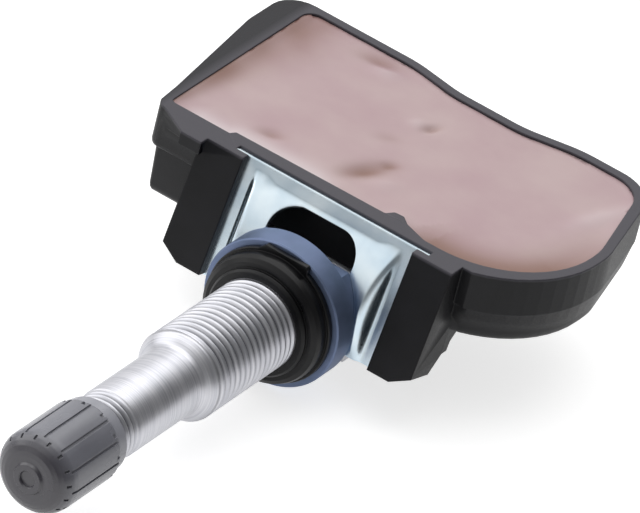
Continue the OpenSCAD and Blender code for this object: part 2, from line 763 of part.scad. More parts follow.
// Sensor chip on the board's underside, its port facing the floor
module chip_blank() {
    translate([chip[0] - chip_l / 2, chip[1] - chip_w / 2, board_z - chip_t])
        cube([chip_l, chip_w, chip_t]);
}

module sensor_chip() {
    color([0.1, 0.1, 0.1]) difference() {
        chip_blank();
        translate([chip[0], chip[1], board_z - chip_t - 1]) cylinder(d = 1, h = 1.8);
    }
}

// Ring that closes the gap between the chip and the housing's pressure port
module port_seal_blank() {
    translate([chip[0], chip[1], deep_floor])
        cylinder(d = port_d + 2.6, h = board_z - chip_t - deep_floor);
}

module port_seal() {
    color("tomato") difference() {
        port_seal_blank();
        translate([chip[0], chip[1], 0]) cylinder(d = port_d, h = board_z);
    }
}

// Ferrite core of the wake-up coil: a bar with two end blocks
module ferrite_blank() {
    translate([ferrite[0] - ferrite_l / 2, ferrite[1] - ferrite_t / 2,
               board_top + (ferrite_w - ferrite_t) / 2])
        cube([ferrite_l, ferrite_t, ferrite_t]);
    for (s = [0, 1])
        translate([ferrite[0] - ferrite_l / 2 + s * (ferrite_l - ferrite_t),
                   ferrite[1] - ferrite_w / 2, board_top])
            cube([ferrite_t, ferrite_w, ferrite_w]);
}

module ferrite_core() {
    color("dimgray") ferrite_blank();
}

// Winding between the end blocks
module winding_blank() {
    translate([ferrite[0] - ferrite_l / 2 + ferrite_t, ferrite[1] - winding_w / 2,
               board_top + (ferrite_w - winding_w) / 2])
        cube([ferrite_l - 2 * ferrite_t, winding_w, winding_w]);
}

module coil_winding() {
    color("chocolate") difference() {
        winding_blank();
        ferrite_blank();
    }
}

// Aerial: a strip that stands along two edges of the board
module aerial_blank() {
    x0 = board_x0 + aerial_in;
    x1 = board_x1 - 2;
    y0 = board_y0 + aerial_foot;
    y1 = board_y1 - aerial_in;
    translate([0, 0, board_top]) linear_extrude(aerial_h)
        polygon([[x0, y0], [x0 + aerial_t, y0], [x0 + aerial_t, y1 - aerial_t],
                 [x1, y1 - aerial_t], [x1, y1], [x0, y1]]);
}

module aerial() {
    color("gold") aerial_blank();
}

// Crystal in its metal can
module crystal_blank() {
    translate([crystal_at[0] - crystal_l / 2, crystal_at[1] - crystal_w / 2, board_top])
        cube([crystal_l, crystal_w, crystal_h]);
}

module crystal() {
    color("silver") crystal_blank();
}

// Chip capacitors and resistors, each at its own place on the board
module capacitor_blanks() {
    for (p = capacitor_places)
        translate([p[0] - capacitor_l / 2, p[1] - capacitor_w / 2, board_top])
            cube([capacitor_l, capacitor_w, capacitor_h]);
}

module capacitors() {
    color("tan") capacitor_blanks();
}

module resistor_blanks() {
    for (p = resistor_places)
        translate([p[0] - resistor_l / 2, p[1] - resistor_w / 2, board_top])
            cube([resistor_l, resistor_w, resistor_h]);
}

module resistors() {
    color([0.15, 0.15, 0.15]) resistor_blanks();
}

valve_stem();
core_plug();
core_barrel();
core_seal();
core_pin();
pin_cup();
core_spring();
seal();
dome_washer();
valve_cap();
cap_disc();
bracket();
housing();
potting();
circuit_board();
button_cell();
cell_tab_top();
cell_tab_bottom();
sensor_chip();
port_seal();
ferrite_core();
coil_winding();
aerial();
crystal();
capacitors();
resistors();
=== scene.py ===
"""Looks of the tyre pressure sensor: pieces, finishes, camera and light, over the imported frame."""

import json
from math import atan2, cos, exp, hypot, radians, sin, tau

import bmesh
import bpy
from bpy.props import FloatProperty, FloatVectorProperty, IntProperty, PointerProperty, StringProperty
from mathutils import Matrix, Vector, kdtree, noise


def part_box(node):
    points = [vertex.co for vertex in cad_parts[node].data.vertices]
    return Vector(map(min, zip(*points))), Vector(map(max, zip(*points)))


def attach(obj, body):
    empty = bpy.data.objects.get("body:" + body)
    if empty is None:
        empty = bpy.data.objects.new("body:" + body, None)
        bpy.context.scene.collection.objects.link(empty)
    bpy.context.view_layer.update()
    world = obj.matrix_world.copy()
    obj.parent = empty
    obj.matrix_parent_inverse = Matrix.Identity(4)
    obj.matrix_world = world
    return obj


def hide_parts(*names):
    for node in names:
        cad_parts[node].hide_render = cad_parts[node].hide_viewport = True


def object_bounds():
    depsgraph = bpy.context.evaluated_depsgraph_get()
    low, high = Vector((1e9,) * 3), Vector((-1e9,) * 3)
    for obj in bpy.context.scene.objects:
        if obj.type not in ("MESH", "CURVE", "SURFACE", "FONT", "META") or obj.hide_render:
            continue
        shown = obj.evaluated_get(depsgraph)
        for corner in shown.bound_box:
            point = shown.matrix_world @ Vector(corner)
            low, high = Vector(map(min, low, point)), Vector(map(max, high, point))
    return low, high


bl_info = {
    "name": "Tyre Pressure Sensor",
    "version": (1, 0, 0),
    "blender": (4, 5, 0),
    "location": "View3D > Sidebar > Sensor",
    "description": "Dresses a clamp-in tyre pressure sensor: threads, cap, potting and finishes",
    "category": "Object",
}

MM = 0.001
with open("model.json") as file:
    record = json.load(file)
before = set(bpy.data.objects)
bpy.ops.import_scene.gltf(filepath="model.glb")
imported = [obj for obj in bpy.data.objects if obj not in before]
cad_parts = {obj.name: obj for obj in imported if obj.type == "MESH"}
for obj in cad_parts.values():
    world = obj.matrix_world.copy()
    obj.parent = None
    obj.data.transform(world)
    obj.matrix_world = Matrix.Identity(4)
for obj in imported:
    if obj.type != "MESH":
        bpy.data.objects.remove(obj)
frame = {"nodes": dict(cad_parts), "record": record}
CAD_BOUNDS = [list(corner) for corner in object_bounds()]
NODES = frame["nodes"]
MOUNTS = {mount["name"]: mount for mount in frame["record"]["mounts"]}
THREAD = MOUNTS["stem_thread"]["dims"]


# Shared tools


def fade(value, reach):
    """0 where value is below 0, rising to 1 at reach."""
    return max(0.0, min(1.0, value / reach))


def linear(code):
    """sRGB hex colour as linear RGBA."""
    channels = [int(code[i : i + 2], 16) / 255 for i in (1, 3, 5)]
    return [c / 12.92 if c <= 0.04045 else ((c + 0.055) / 1.055) ** 2.4 for c in channels] + [1.0]


def add(tree, kind, settings=None, **links):
    """Adds a node, sets its properties and inputs by name, and links the inputs given as sockets."""
    node = tree.nodes.new(kind)
    for key, value in (settings or {}).items():
        if key in node.bl_rna.properties:
            setattr(node, key, value)
        else:
            node.inputs[key].default_value = value
    for key, value in links.items():
        name = key.replace("_", " ")
        socket = node.inputs[int(key[1:])] if key[0] == "_" else node.inputs[name]
        if isinstance(value, bpy.types.NodeSocket):
            tree.links.new(value, socket)
        else:
            socket.default_value = value
    return node


def start_material(name, settings):
    """Material with one shader node; returns it with its tree, shader and object coordinates."""
    material = bpy.data.materials.new(name)
    material.use_nodes = True
    tree = material.node_tree
    tree.nodes.clear()
    shader = add(tree, "ShaderNodeBsdfPrincipled", settings)
    out = add(tree, "ShaderNodeOutputMaterial")
    tree.links.new(shader.outputs["BSDF"], out.inputs["Surface"])
    where = add(tree, "ShaderNodeTexCoord").outputs["Object"]
    return material, tree, shader, where


def pattern(tree, where, size_mm, detail=3.0, stretch=(1, 1, 1), roughness=0.5):
    """Noise whose features are about size_mm across, stretched along the axes."""
    scale = [1 / (size_mm * MM * s) for s in stretch]
    place = add(tree, "ShaderNodeMapping", {"Scale": scale}, Vector=where)
    settings = {"Scale": 1.0, "Detail": detail, "Roughness": roughness}
    return add(tree, "ShaderNodeTexNoise", settings, Vector=place.outputs[0]).outputs["Fac"]


def ramp(tree, factor, low, high, start=0.3, end=0.7):
    """Factor spread from low to high between start and end."""
    settings = {"From Min": start, "From Max": end, "To Min": low, "To Max": high}
    return add(tree, "ShaderNodeMapRange", settings, Value=factor).outputs[0]


def blend(tree, factor, first, second):
    """Mix of two colours, given as hex or as sockets."""
    mix = add(tree, "ShaderNodeMix", {"data_type": "RGBA"}, Factor=factor)
    for socket, value in zip((mix.inputs[6], mix.inputs[7]), (first, second)):
        if isinstance(value, str):
            socket.default_value = linear(value)
        else:
            tree.links.new(value, socket)
    return mix.outputs[2]


def relief(tree, shader, height, depth_mm, soft_mm=0.0, strength=1.0):
    """Bump of that depth, over edges rounded to soft_mm."""
    settings = {"Strength": strength, "Distance": depth_mm * MM}
    bump = add(tree, "ShaderNodeBump", settings, Height=height)
    if soft_mm:
        edge = add(tree, "ShaderNodeBevel", {"Radius": soft_mm * MM, "samples": 6})
        tree.links.new(edge.outputs[0], bump.inputs["Normal"])
    tree.links.new(bump.outputs[0], shader.inputs["Normal"])


def finish_piece(name, bm, material, body, slot, *nodes, angle=35):
    """Turns a bmesh into a piece that rides on a body, stands for nodes and has a finish."""
    mesh = bpy.data.meshes.new(name)
    bm.to_mesh(mesh)
    bm.free()
    mesh.shade_smooth()
    mesh.set_sharp_from_angle(angle=radians(angle))
    mesh.materials.append(material)
    piece = bpy.data.objects.new(name, mesh)
    bpy.context.scene.collection.objects.link(piece)
    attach(piece, body)
    if nodes:
        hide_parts(*nodes)
    return piece


def copy_of(node):
    """A merged copy of a CAD node's mesh."""
    bm = bmesh.new()
    bm.from_mesh(NODES[node].data)
    bmesh.ops.remove_doubles(bm, verts=bm.verts, dist=0.002 * MM)
    return bm


def coat(node, material):
    """Gives a CAD node its finish."""
    data = NODES[node].data
    data.materials.clear()
    data.materials.append(material)


def from_axis(vert):
    """Distance of a vertex from the valve's axis."""
    return hypot(vert.co.x, vert.co.z)


def turn_by(vert, radius):
    """Moves a vertex to that distance from the valve's axis."""
    factor = radius / from_axis(vert)
    vert.co.x *= factor
    vert.co.z *= factor


# Finishes


def turned_aluminium(settings):
    """Aluminium off the lathe: light and satin, with fine tool rings and painted shade in the thread
    valleys.
    """
    material, tree, shader, where = start_material("turned_aluminium", {"Metallic": 1.0})
    # the tool's feed of about 0.1 mm is drawn twice as coarse, so that it shows
    rings = pattern(tree, where, 0.2, 2.0, (60, 1, 60), 0.7)
    metal = blend(tree, ramp(tree, rings, 0.0, 1.0, 0.35, 0.65), settings.metal_low,
                  settings.metal_high)
    # painted shade: the thread valleys are drawn darker the deeper they lie
    painted_valley_shade = add(tree, "ShaderNodeAttribute", {"attribute_name": "painted_valley_shade"}).outputs["Fac"]
    tree.links.new(blend(tree, ramp(tree, painted_valley_shade, 0.0, 1.0, 0.3, 1.0), metal, settings.painted_valley_shade),
                   shader.inputs["Base Color"])
    tree.links.new(ramp(tree, rings, 0.3, 0.42), shader.inputs["Roughness"])
    relief(tree, shader, rings, 0.03)
    return material


def moulded_cap(settings, nose_y, end_y):
    """Grey nylon off the mould: satin, with painted shade round the nose, and paler on the lip."""
    material, tree, shader, where = start_material("moulded_cap_nylon",
                                                   {"Specular IOR Level": 0.9})
    grain = pattern(tree, where, 0.15, 3.0)
    cloud = pattern(tree, where, 2.2, 3.0, (1, 2.5, 1))
    along = add(tree, "ShaderNodeSeparateXYZ", _0=where).outputs["Y"]
    body = blend(tree, ramp(tree, cloud, 0.0, 1.0), settings.low, settings.high)
    # painted shade: the nose is drawn darker than the body
    nose_shade = ramp(tree, along, 1.0, 0.0, nose_y + settings.nose_length, nose_y + settings.nose_fade)
    lip_y = end_y - settings.lip_length
    lip = ramp(tree, along, 0.0, 1.0, lip_y - settings.lip_fade, lip_y)
    body = blend(tree, lip, body, settings.lip)
    tree.links.new(blend(tree, nose_shade, body, settings.nose_shade), shader.inputs["Base Color"])
    tree.links.new(ramp(tree, cloud, 0.2, 0.3), shader.inputs["Roughness"])
    relief(tree, shader, grain, 0.003, 0.14)
    return material


def seal_rubber(settings):
    """Black moulded rubber: dull, with a soft sheen where it is polished by the mould."""
    material, tree, shader, where = start_material("moulded_rubber", {"Specular IOR Level": 0.3})
    grain = pattern(tree, where, 0.2, 3.0)
    cloud = pattern(tree, where, 3.0, 2.0)
    tree.links.new(blend(tree, ramp(tree, cloud, 0.0, 1.0), settings.low, settings.high),
                   shader.inputs["Base Color"])
    tree.links.new(ramp(tree, cloud, 0.26, 0.4), shader.inputs["Roughness"])
    relief(tree, shader, grain, 0.004, 0.15)
    return material


def zinc_plate(name, low, high, roughness, soft_mm):
    """Zinc-plated steel with a blue passivate: smooth and bright, in soft patches."""
    material, tree, shader, where = start_material(name, {"Metallic": 1.0})
    cloud = pattern(tree, where, 3.5, 2.0)
    tree.links.new(blend(tree, ramp(tree, cloud, 0.0, 1.0), low, high),
                   shader.inputs["Base Color"])
    tree.links.new(ramp(tree, cloud, roughness - 0.03, roughness + 0.03),
                   shader.inputs["Roughness"])
    relief(tree, shader, cloud, 0.05, soft_mm, 0.5)
    return material


def black_nylon(settings, rim_z):
    """Glass-filled black nylon: dark and satin, with a grey sheen painted on top of the rim."""
    material, tree, shader, where = start_material("glass_filled_nylon",
                                                   {"Specular IOR Level": 0.28})
    grain = pattern(tree, where, 0.18, 4.0)
    cloud = pattern(tree, where, 4.0, 3.0)
    body = blend(tree, ramp(tree, cloud, 0.0, 1.0), settings.low, settings.high)
    parts = add(tree, "ShaderNodeSeparateXYZ", _0=where).outputs
    # the sheen painted on the rim has a ragged lower border
    wobble = add(tree, "ShaderNodeMath", {"operation": "MULTIPLY_ADD"}, _0=cloud,
                 _1=settings.ragged, _2=parts["Z"])
    sheen_painted = ramp(tree, wobble.outputs[0], 0.0, 1.0, rim_z - settings.sheen_painted, rim_z + 0.02 * MM)
    # the sheen painted on the broad rim on the left is darker than on the rest
    left = ramp(tree, parts["X"], 1.0, 0.0, settings.broad_left, settings.broad_right)
    rim = blend(tree, left, settings.rim, settings.rim_left)
    tree.links.new(blend(tree, sheen_painted, body, rim), shader.inputs["Base Color"])
    tree.links.new(ramp(tree, grain, 0.34, 0.46), shader.inputs["Roughness"])
    relief(tree, shader, grain, 0.008, 0.25)
    return material


def poured_potting(settings):
    """Polyurethane potting: opaque pink-brown with a satin skin, darker where it is thin, with a pale
    highlight painted along its raised edge and on its bumps.
    """
    material, tree, shader, where = start_material("poured_polyurethane", {})
    cloud = pattern(tree, where, 9.0, 3.0)
    fine = pattern(tree, where, 0.6, 4.0)
    pink = blend(tree, ramp(tree, cloud, 0.0, 1.0, 0.35, 0.65), settings.pink, settings.pale)
    depth = add(tree, "ShaderNodeAttribute", {"attribute_name": "hollow"}).outputs["Fac"]
    # painted highlight: below 0 the skin is blended towards a pale highlight colour
    pink = blend(tree, ramp(tree, depth, 1.0, 0.0, -1.0, 0.0), pink, settings.painted_edge_highlight)
    tree.links.new(blend(tree, ramp(tree, depth, 0.0, 1.0, 0.0, 1.0), pink, settings.brown),
                   shader.inputs["Base Color"])
    tree.links.new(ramp(tree, fine, 0.3, 0.38), shader.inputs["Roughness"])
    relief(tree, shader, fine, 0.01, strength=0.6)
    return material


def plain_finish(name, low, high, metallic, roughness, grain_mm):
    """Finish of a piece that is sealed inside: two close colours and a fine grain."""
    material, tree, shader, where = start_material(name, {"Metallic": metallic})
    grain = pattern(tree, where, grain_mm, 3.0)
    tree.links.new(blend(tree, ramp(tree, grain, 0.0, 1.0), low, high),
                   shader.inputs["Base Color"])
    tree.links.new(ramp(tree, grain, roughness - 0.05, roughness + 0.05),
                   shader.inputs["Roughness"])
    relief(tree, shader, grain, 0.01)
    return material


# Settings


def colour_setting(name, code):
    """Setting that holds a colour."""
    return StringProperty(name=name, description=f"{name}, as an sRGB hex code", default=code)


def length_setting(name, text, millimetres):
    """Setting that holds a length, given in millimetres."""
    return FloatProperty(
        name=name, description=text, default=millimetres * MM, unit="LENGTH", precision=5
    )


class StemSettings(bpy.types.PropertyGroup):
    pitch: length_setting("Nut thread pitch", "Distance between the turns of the nut thread", 0.95)
    depth: length_setting("Nut thread depth", "Height of the nut thread", 0.42)
    cap_pitch: length_setting("Cap thread pitch", "Distance between its turns", 0.794)
    cap_depth: length_setting("Cap thread depth", "Height of the cap thread", 0.35)
    steps: IntProperty(name="Steps", description="Steps round one turn", default=72)
    metal_low: colour_setting("Darker metal", "#BFC0C7")
    metal_high: colour_setting("Lighter metal", "#DBDBE0")
    # colour of the shade painted into the thread valleys
    painted_valley_shade: colour_setting("Painted valley shade", "#5A5B63")


class CapSettings(bpy.types.PropertyGroup):
    low: colour_setting("Darker nylon", "#71727B")
    high: colour_setting("Lighter nylon", "#80818A")
    # colour of the shade painted on the cap's nose
    nose_shade: colour_setting("Painted nose shade", "#45434B")
    lip: colour_setting("Lip", "#9C9DA6")
    lip_length: length_setting("Lip", "Length of the plain lip at the open end", 1.6)
    lip_fade: length_setting("Lip's fade", "Length over which the lip's colour fades out", 0.1)
    nose_length: length_setting("Nose length", "Length of the nose that is darkest", 0.6)
    nose_fade: length_setting("Nose's fade", "Distance from the end where the nose is over", 2.2)


class RubberSettings(bpy.types.PropertyGroup):
    low: colour_setting("Darker rubber", "#0B0B0D")
    high: colour_setting("Lighter rubber", "#141416")


class BracketSettings(bpy.types.PropertyGroup):
    edge: length_setting("Edge radius", "Rounding of the sheet's edges", 0.12)
    length: length_setting("Length", "Length of the plate along its lean", 14.2)
    thickness: length_setting("Thickness", "Thickness of the sheet", 0.8)
    front: length_setting("Front", "Place of the plate's front along Y, at its top edge", 10.8)
    crest: length_setting("Crest", "Distance of the barrel's crest from the top edge", 8.3)
    axis_depth: length_setting("Depth", "Distance of the barrel's axis behind the plate", 10.746)
    barrel_half: length_setting("Half height", "Half of the barrel's height", 6.6)
    barrel_width: length_setting("Width", "Width of the barrel", 18.6)
    slope: length_setting("Slope", "Width of the slope at the barrel's ends", 0.9)
    crest_bend: length_setting("Crest bend", "Rounding of the barrel's upper edges", 0.9)
    bend_middle: length_setting("Middle bend", "Rounding of the barrel's foot by the washer", 0.15)
    bend_ends: length_setting("End bend", "Rounding of the barrel's foot at its ends", 0.6)
    sharp_half: length_setting("Sharp half", "Half width of the sharper bend", 6.5)
    bend_change: length_setting("Bend change", "Width over which the bend softens", 1.5)
    mesh: length_setting("Mesh size", "Size of the sheet's mesh", 0.2)
    slot_width: length_setting("Slot width", "Width of the slot", 10.8)
    slot_top: length_setting("Slot top", "Distance of the slot from the top edge", 2.0)
    slot_radius: length_setting("Slot radius", "Radius of the slot's corners", 3.0)
    lean: FloatProperty(name="Lean", description="Angle at which the plate leans back",
                        default=radians(15), unit="ROTATION")
    low: colour_setting("Darker zinc", "#CBDDE9")
    high: colour_setting("Lighter zinc", "#E6F2F8")


class HousingSettings(bpy.types.PropertyGroup):
    low: colour_setting("Darker nylon", "#0F0F12")
    high: colour_setting("Lighter nylon", "#17171B")
    # painted sheen: the rim's top is drawn grey where light falls on it, and darker on the broad rim
    # on the left
    rim: colour_setting("Painted rim sheen", "#4E4C53")
    rim_left: colour_setting("Broad rim on the left", "#232227")
    sheen_painted: length_setting("Painted sheen depth", "How far down the rim is rubbed", 0.25)
    ragged: length_setting("Raggedness", "Height of the rubbed zone's ragged border", 0.2)
    broad_left: length_setting("Broad rim's left", "X up to which the rim has its left colour", -23.4)
    broad_right: length_setting("Broad rim's right", "X where the left colour is over", -22.2)


class PottingSettings(bpy.types.PropertyGroup):
    pink: colour_setting("Pink", "#C0A2A6")
    pale: colour_setting("Pale pink", "#C9B0B0")
    brown: colour_setting("Brown", "#8A6252")
    # colour of the pale highlight painted along the raised edge and on the bumps
    painted_edge_highlight: colour_setting("Painted edge highlight", "#E6D8DA")
    skin: length_setting("Mesh size", "Size of the mesh of the skin", 0.3)
    rise: length_setting("Edge rise", "How far the skin climbs the wall", 0.3)
    edge_width: length_setting("Edge width", "Width of the skin's rise at the wall", 0.9)
    cling: FloatProperty(name="Cling", default=0.45,
                         description="Rise at the other walls as a share of the left one's")


class StageSettings(bpy.types.PropertyGroup):
    lens: FloatProperty(name="Lens", description="Focal length", default=539.5)
    eye: FloatVectorProperty(
        name="Eye", description="Place of the camera", unit="LENGTH",
        default=(367.02 * MM, -744.03 * MM, 555.31 * MM),
    )
    right: FloatVectorProperty(
        name="Right", description="Direction of the picture's right",
        default=(0.81235, 0.54549, 0.20625),
    )
    up: FloatVectorProperty(
        name="Up", description="Direction of the picture's top",
        default=(-0.45458, 0.37075, 0.80987),
    )


# Pieces


# Fit of the thread sleeves in the stem
CLOSE = 0.01 * MM
GROOVE_INSET = 0.03 * MM
GROOVE_ROOM = 0.05 * MM
SLEEVE_WALL = 0.12 * MM
CREST_GAP = 0.004 * MM
# Shape of a thread: how flat its crests are, and its run-out and chamfer in turns
CREST_FLATNESS = 1.3
RUN_OUT = 0.8
CHAMFER = 0.7


def cut_groove(bm, crest, depth, start, length):
    """Turns a cylinder of the stem down, so that a thread sleeve can lie in it."""
    first, last = start + GROOVE_INSET, start + length - GROOVE_INSET
    for y in (first, last):
        bmesh.ops.bisect_plane(bm, geom=bm.verts[:] + bm.edges[:] + bm.faces[:],
                               plane_co=(0, y, 0), plane_no=(0, 1, 0), dist=1e-7)
    for vert in bm.verts:
        inside = first - CLOSE < vert.co.y < last + CLOSE
        if inside and abs(from_axis(vert) - crest) < 3 * CLOSE:
            turn_by(vert, crest - depth - GROOVE_ROOM)


def add_thread(bm, crest, depth, start, length, pitch, steps, rows_per_turn=12):
    """Closed sleeve with a right-hand thread in its outside, run out at both ends."""
    core = crest - depth - SLEEVE_WALL
    rows = int(length / pitch * rows_per_turn)
    places = [(core, start)]
    places += [(crest, start + length * row / rows) for row in range(rows + 1)]
    places += [(core, start + length)]
    painted_valley_shade = bm.verts.layers.float["painted_valley_shade"]
    old = set(bm.verts)
    verts = [bm.verts.new((0, y, radius)) for radius, y in places]
    edges = [bm.edges.new(pair) for pair in zip(verts, verts[1:] + verts[:1])]
    bmesh.ops.spin(bm, geom=verts + edges, cent=(0, 0, 0), axis=(0, 1, 0), angle=tau,
                   steps=steps, use_merge=True, use_duplicate=False)
    sleeve = [vert for vert in bm.verts if vert not in old]
    for vert in sleeve:
        if from_axis(vert) < crest - CLOSE:
            continue
        along = vert.co.y - start
        part = (along / pitch - atan2(vert.co.x, vert.co.z) / tau) % 1
        height = min(1, CREST_FLATNESS * (1 - abs(2 * part - 1)))
        cut = depth * (1 - height) * min(1, (length - along) / (RUN_OUT * pitch))
        chamfer = depth * max(0, 1 - along / (CHAMFER * pitch))
        # how deep it lies in the valley, which sets the shade painted there
        vert[painted_valley_shade] = cut / depth
        turn_by(vert, crest - max(cut, chamfer) - CREST_GAP)
    faces = {face for vert in sleeve for face in vert.link_faces}
    bmesh.ops.recalc_face_normals(bm, faces=list(faces))


class SENSOR_OT_stem(bpy.types.Operator):
    """Valve stem with its nut thread and its cap thread"""

    bl_idname = "sensor.stem"
    bl_label = "Valve stem"

    def execute(self, context):
        settings = context.scene.sensor_stem
        crest = THREAD["r_mm"] * MM
        length = THREAD["length_mm"] * MM
        low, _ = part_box("valve_stem")
        bm = copy_of("valve_stem")
        bm.verts.layers.float.new("painted_valley_shade")
        # the cap thread's cylinder lies beyond the nut thread, at the stem's tip
        tip_crest = max(from_axis(v) for v in bm.verts if v.co.y < low.y + 2 * MM)
        tip = [v.co.y for v in bm.verts
               if abs(from_axis(v) - tip_crest) < CLOSE and v.co.y < -1.5 * length]
        tip_start, tip_end = min(tip), max(tip)
        cut_groove(bm, crest, settings.depth, -length, length)
        cut_groove(bm, tip_crest, settings.cap_depth, tip_start, tip_end - tip_start)
        add_thread(bm, crest, settings.depth, -length, length, settings.pitch, settings.steps)
        add_thread(bm, tip_crest, settings.cap_depth, tip_start, tip_end - tip_start,
                   settings.cap_pitch, settings.steps)
        finish_piece("stem", bm, turned_aluminium(settings), "valve", "aluminium", "valve_stem")
        return {"FINISHED"}


class SENSOR_OT_cap(bpy.types.Operator):
    """Valve cap"""

    bl_idname = "sensor.cap"
    bl_label = "Valve cap"

    def execute(self, context):
        settings = context.scene.sensor_cap
        low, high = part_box("valve_cap")
        coat("valve_cap", moulded_cap(settings, low.y, high.y))
        return {"FINISHED"}


class SENSOR_OT_seal(bpy.types.Operator):
    """Rubber seal"""

    bl_idname = "sensor.seal"
    bl_label = "Rubber seal"

    def execute(self, context):
        coat("seal", seal_rubber(context.scene.sensor_rubber))
        return {"FINISHED"}


class SENSOR_OT_washer(bpy.types.Operator):
    """Dome washer"""

    bl_idname = "sensor.washer"
    bl_label = "Dome washer"

    def execute(self, context):
        coat("dome_washer", zinc_plate("blue_zinc_washer", "#6C7A94", "#7C89A8", 0.55, 0.12))
        return {"FINISHED"}


def smooth_min(first, second, reach):
    """Smaller of two values, rounded where they are less than reach apart."""
    mix = max(0.0, reach - abs(first - second)) / reach
    return min(first, second) - mix * mix * reach / 4


def slot_gap(settings, x, down):
    """Distance of a place on the plate from the slot's outline, negative in the slot."""
    across = abs(x) - (settings.slot_width / 2 - settings.slot_radius)
    above = settings.slot_top + settings.slot_radius - down
    if across > 0 and above > 0:
        return hypot(across, above) - settings.slot_radius
    return max(across, above) - settings.slot_radius


def pressed_out(settings, x, down):
    """How far the barrel stands out of the plate there, with the soft edges of a pressing."""
    radius = hypot(settings.axis_depth, settings.barrel_half)
    reach = max(0.0, radius ** 2 - (down - settings.crest) ** 2)
    barrel = reach ** 0.5 - settings.axis_depth
    end = (settings.barrel_width / 2 - abs(x)) * (radius - settings.axis_depth) / settings.slope
    # the bend is sharper in the middle, where the washer's saddle comes close to it
    part = fade(abs(x) - settings.sharp_half, settings.bend_change)
    foot = settings.bend_middle + (settings.bend_ends - settings.bend_middle) * part
    return -smooth_min(-smooth_min(barrel, end, settings.crest_bend), 0.0, foot)


class SENSOR_OT_bracket(bpy.types.Operator):
    """Pressed bracket"""

    bl_idname = "sensor.bracket"
    bl_label = "Bracket"

    def execute(self, context):
        settings = context.scene.sensor_bracket
        low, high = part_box("bracket")
        bm = bmesh.new()
        width = high.x - low.x
        bmesh.ops.create_grid(bm, x_segments=round(width / settings.mesh),
                              y_segments=round(settings.length / settings.mesh), size=0.5)
        bmesh.ops.scale(bm, verts=bm.verts, vec=(width, settings.length, 1))
        bmesh.ops.translate(bm, verts=bm.verts, vec=(0, settings.length / 2, 0))
        gone = [face for face in bm.faces
                if slot_gap(settings, *face.calc_center_median().xy) < 0]
        bmesh.ops.delete(bm, geom=gone, context="FACES")
        nudge = 0.01 * MM
        # the ragged border of the slot is drawn onto its outline
        for vert in bm.verts:
            x, down = vert.co.xy
            gap = slot_gap(settings, x, down)
            if vert.is_boundary and abs(gap) < 1.25 * settings.mesh:
                slope = Vector((slot_gap(settings, x + nudge, down) - gap,
                                slot_gap(settings, x, down + nudge) - gap)) / nudge
                vert.co.xy -= slope * gap
            vert.co.z = pressed_out(settings, vert.co.x, vert.co.y)
        # the sheet's own thickness goes to the back
        bmesh.ops.recalc_face_normals(bm, faces=bm.faces)
        front = {vert: vert.normal.copy() for vert in bm.verts}
        turned = 1 if sum(normal.z for normal in front.values()) > 0 else -1
        back = bmesh.ops.duplicate(bm, geom=bm.faces[:])
        for vert, twin in back["vert_map"].items():
            if vert in front:
                twin.co -= front[vert] * turned * settings.thickness
        rims = [edge for edge in bm.edges if edge.is_boundary]
        bmesh.ops.bridge_loops(bm, edges=rims)
        bmesh.ops.recalc_face_normals(bm, faces=bm.faces)
        corners = [edge for edge in bm.edges if edge.calc_face_angle(0) > radians(60)]
        bmesh.ops.bevel(bm, geom=corners, offset=settings.edge, offset_type="OFFSET", segments=2,
                        profile=0.5, affect="EDGES", clamp_overlap=True, material=-1)
        # x stays, the way down the plate becomes -Z and the way out of it -Y, then it leans back
        place = (Matrix.Translation((0, settings.front, high.z))
                 @ Matrix.Rotation(-settings.lean, 4, "X")
                 @ Matrix(((1, 0, 0, 0), (0, 0, -1, 0), (0, -1, 0, 0), (0, 0, 0, 1))))
        bmesh.ops.transform(bm, matrix=place, verts=bm.verts)
        bmesh.ops.recalc_face_normals(bm, faces=bm.faces)
        finish = zinc_plate("blue_zinc_bracket", settings.low, settings.high, 0.24, 0.0)
        finish_piece("bracket_plate", bm, finish, "sensor", "zinc_steel", "bracket", angle=40)
        return {"FINISHED"}


class SENSOR_OT_housing(bpy.types.Operator):
    """Housing"""

    bl_idname = "sensor.housing"
    bl_label = "Housing"

    def execute(self, context):
        finish = black_nylon(context.scene.sensor_housing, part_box("housing")[1].z)
        finish_piece("housing_shell", copy_of("housing"), finish, "sensor", "black_plastic",
                     "housing", angle=18)
        return {"FINISHED"}


# Marks in the skin, in millimetres: place, half length, half width, turn, depth and brownness; a
# negative brownness paints a pale highlight
DENTS = [
    ((-1.3, 19.2), (2.9, 1.3), 62, 0.42, 0.85), ((-0.1, 22.2), (1.0, 0.7), 40, 0.16, 0.55),
    ((-11.8, 16.8), (1.5, 0.9), 20, 0.3, 0.5), ((-0.9, 31.7), (1.2, 0.6), 70, 0.34, 0.5),
    ((-3.1, 26.4), (1.4, 0.9), 30, 0.1, 0.22), ((-11.9, 38.0), (2.2, 1.1), 10, 0.2, 0.55),
]
BUMPS = [
    ((-10.2, 36.6), (1.6, 1.0), 15, -0.22, -0.25), ((-2.6, 31.3), (1.0, 0.7), 60, -0.14, -0.2),
    ((1.6, 18.4), (1.6, 1.0), 40, -0.16, -0.1), ((20.4, 32.0), (1.1, 4.6), -18, -0.22, -0.3),
]


def patch(x, y, mark):
    """How strongly a mark is felt at a place, from 0 to 1."""
    (mark_x, mark_y), (long, wide), turn, _, _ = mark
    c, s = cos(radians(turn)), sin(radians(turn))
    u = ((x - mark_x) * c + (y - mark_y) * s) / long
    v = ((y - mark_y) * c - (x - mark_x) * s) / wide
    return exp(-(u * u + v * v))


# Waves of the skin: height and size in millimetres, and where the noise is read
WAVES = [(0.05, 7, 3.1), (0.02, 2.5, 7.7)]


